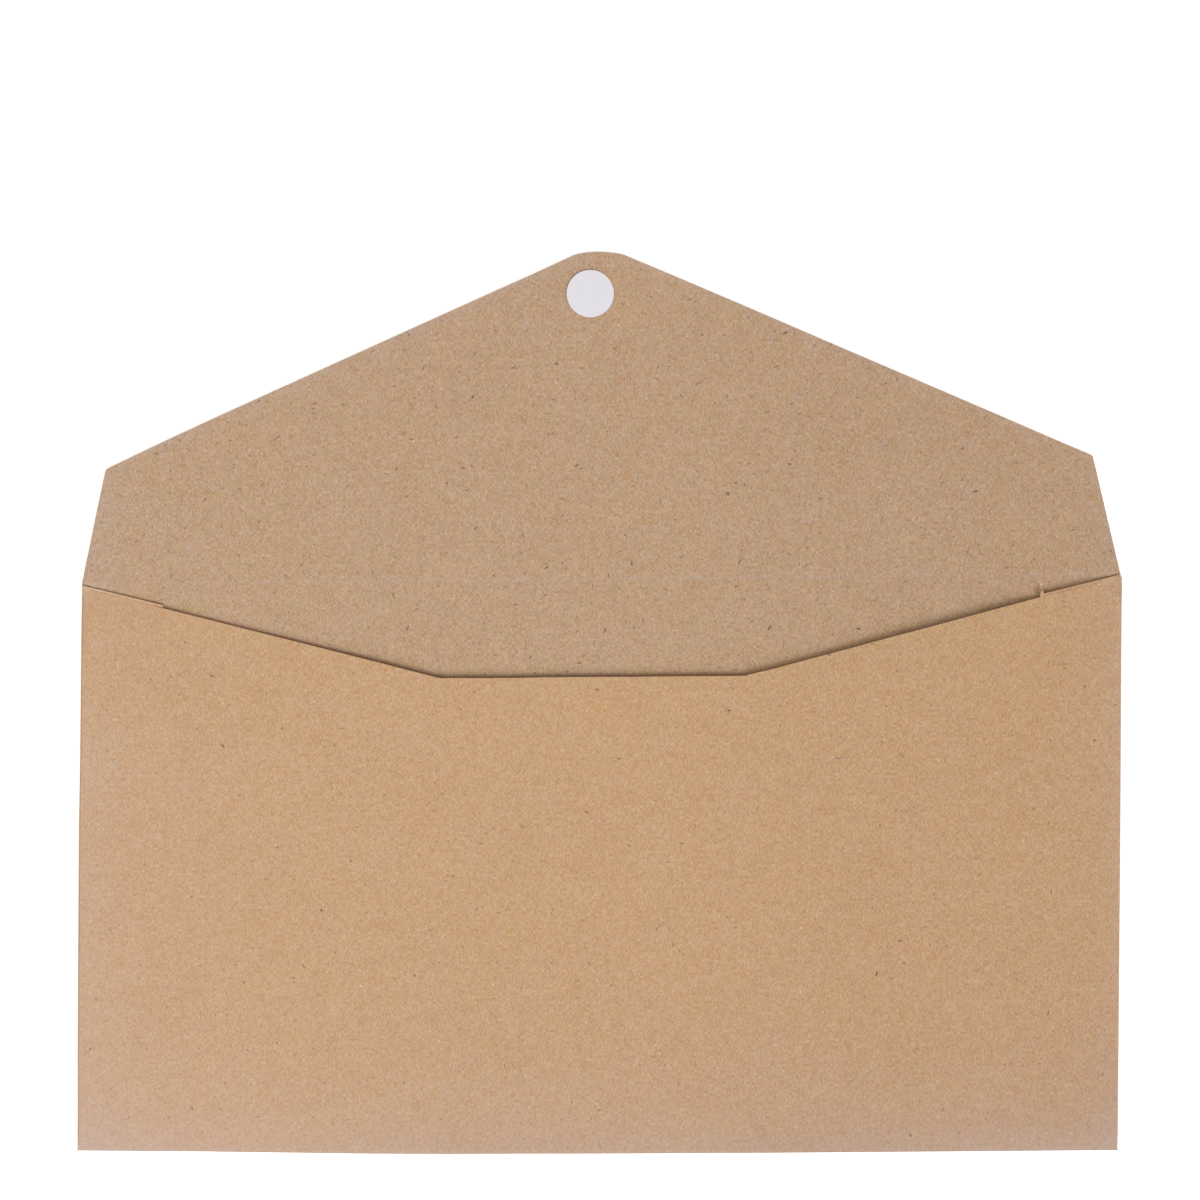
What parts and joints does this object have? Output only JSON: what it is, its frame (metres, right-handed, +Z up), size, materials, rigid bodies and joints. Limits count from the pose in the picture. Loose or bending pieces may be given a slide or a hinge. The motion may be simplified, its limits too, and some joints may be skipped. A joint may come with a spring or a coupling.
{
  "type": "gift envelope",
  "caption": "Long kraft card gift envelope with a glued pocket, a cut-away mouth, a pointed hinged flap and an adhesive dot under a release paper.",
  "frame": {"origin": "centre of the address face, the outside of the rear panel, which lies on the table", "axes": "+X along the envelope's width, +Y from the bottom fold towards the flap, +Z up, out of the front panel"},
  "size_m": [0.22, 0.1905, 0.0014],
  "materials": {
    "kraft_card": "matt, warm brown, with fine fibres",
    "kraft_card_inner": "matt, greyer brown, with fine fibres",
    "glue": "dried, pale amber",
    "dot_adhesive": "clear and tacky",
    "release_paper": "smooth white with a slight silicone sheen"
  },
  "bodies": {
    "pocket": {"rear_panel": "kraft_card", "front_panel": "kraft_card", "bottom_fold": "kraft_card", "side_fold_left": "kraft_card", "side_fold_right": "kraft_card", "side_tab_left": "kraft_card", "side_tab_right": "kraft_card", "glue_line_left": "glue", "glue_line_right": "glue", "flap_crease": "kraft_card_inner"},
    "flap": {"closing_flap": "kraft_card_inner", "adhesive_dot": "dot_adhesive"},
    "liner": {"dot_liner": "release_paper"}
  },
  "joints": [
    {"name": "flap_fold", "type": "hinge", "parent": "pocket", "child": "flap", "pos_m": [0, 0.0605, 0.00109], "axis": [1, 0, 0], "range_deg": [0, 179.5], "deforming": ["flap_crease"]},
    {"name": "liner_peel", "type": "slide", "parent": "flap", "child": "liner", "axis": [0, 1, 0], "range_m": [0, 0.0155]}
  ]
}
